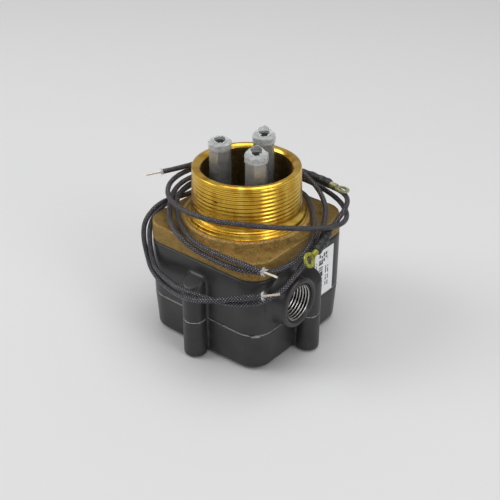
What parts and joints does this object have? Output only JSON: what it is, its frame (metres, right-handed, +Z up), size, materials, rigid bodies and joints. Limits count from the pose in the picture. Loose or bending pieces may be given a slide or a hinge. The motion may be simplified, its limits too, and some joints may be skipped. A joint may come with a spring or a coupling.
{
  "type": "three-electrode level probe head",
  "caption": "Level probe head for a boiler: square brass flange with a threaded spigot, insulated electrode posts, black terminal box with cover and conduit hub, loose braided leads.",
  "frame": {"origin": "the centre of the footprint on the surface that the head stands on, under the spigot's axis", "axes": "+Z up along the spigot's axis, out of its mouth; +X out of the conduit hub"},
  "size_m": [0.1094, 0.1089, 0.1119],
  "materials": {
    "steel": "bright plated",
    "gasket": "matt",
    "brass": "cast with a fine sand grain, the spigot turned and satin",
    "clear_sleeve": "clear and slightly cloudy",
    "black_paint": "satin black paint over a die casting",
    "braid": "varnished braid",
    "tinned_copper": "bright, stranded",
    "heat_shrink": "black, slightly wrinkled",
    "insulator": "smooth, off-white",
    "label": "blank, satin",
    "ring_plating": "yellow-green plating"
  },
  "bodies": {
    "head": {"binding_nuts": "steel", "binding_washers": "steel", "body_gasket": "gasket", "brass_body": "brass", "coupling_1": "steel", "coupling_2": "steel", "coupling_3": "steel", "coupling_sleeve_1": "clear_sleeve", "coupling_sleeve_2": "clear_sleeve", "coupling_sleeve_3": "clear_sleeve", "electrode_1": "steel", "electrode_2": "steel", "electrode_3": "steel", "ground_screw": "steel", "ground_washer": "steel", "housing_roof": "black_paint", "housing_screws": "steel", "lead_1": "braid", "lead_2": "braid", "lead_3": "braid", "lead_core_1": "tinned_copper", "lead_core_2": "tinned_copper", "lead_core_3": "tinned_copper", "lead_sleeve_1": "heat_shrink", "lead_sleeve_2": "heat_shrink", "lead_sleeve_3": "heat_shrink", "lower_insulator_1": "insulator", "lower_insulator_2": "insulator", "lower_insulator_3": "insulator", "rating_label": "label", "ring_terminal_1": "ring_plating", "ring_terminal_2": "ring_plating", "ring_terminal_3": "ring_plating", "terminal_nuts": "steel", "terminal_washers": "steel", "upper_housing": "black_paint", "upper_insulator_1": "insulator", "upper_insulator_2": "insulator", "upper_insulator_3": "insulator"},
    "cover_assembly": {"cover": "black_paint", "cover_gasket": "gasket"},
    "screw_1": {"cover_screw_1": "steel"},
    "screw_2": {"cover_screw_2": "steel"},
    "screw_3": {"cover_screw_3": "steel"},
    "screw_4": {"cover_screw_4": "steel"}
  },
  "joints": [
    {"name": "cover_lift", "type": "slide", "parent": "head", "child": "cover_assembly", "axis": [0, 0, -1], "range_m": [0, 0.045]},
    {"name": "screw_turn_1", "type": "hinge", "parent": "cover_assembly", "child": "screw_1", "pos_m": [0.044, 0, 0], "axis": [0, 0, 1], "continuous": true},
    {"name": "screw_turn_2", "type": "hinge", "parent": "cover_assembly", "child": "screw_2", "pos_m": [0, 0.044, 0], "axis": [0, 0, 1], "continuous": true},
    {"name": "screw_turn_3", "type": "hinge", "parent": "cover_assembly", "child": "screw_3", "pos_m": [-0.044, 0, 0], "axis": [0, 0, 1], "continuous": true},
    {"name": "screw_turn_4", "type": "hinge", "parent": "cover_assembly", "child": "screw_4", "pos_m": [0, -0.044, 0], "axis": [0, 0, 1], "continuous": true}
  ]
}
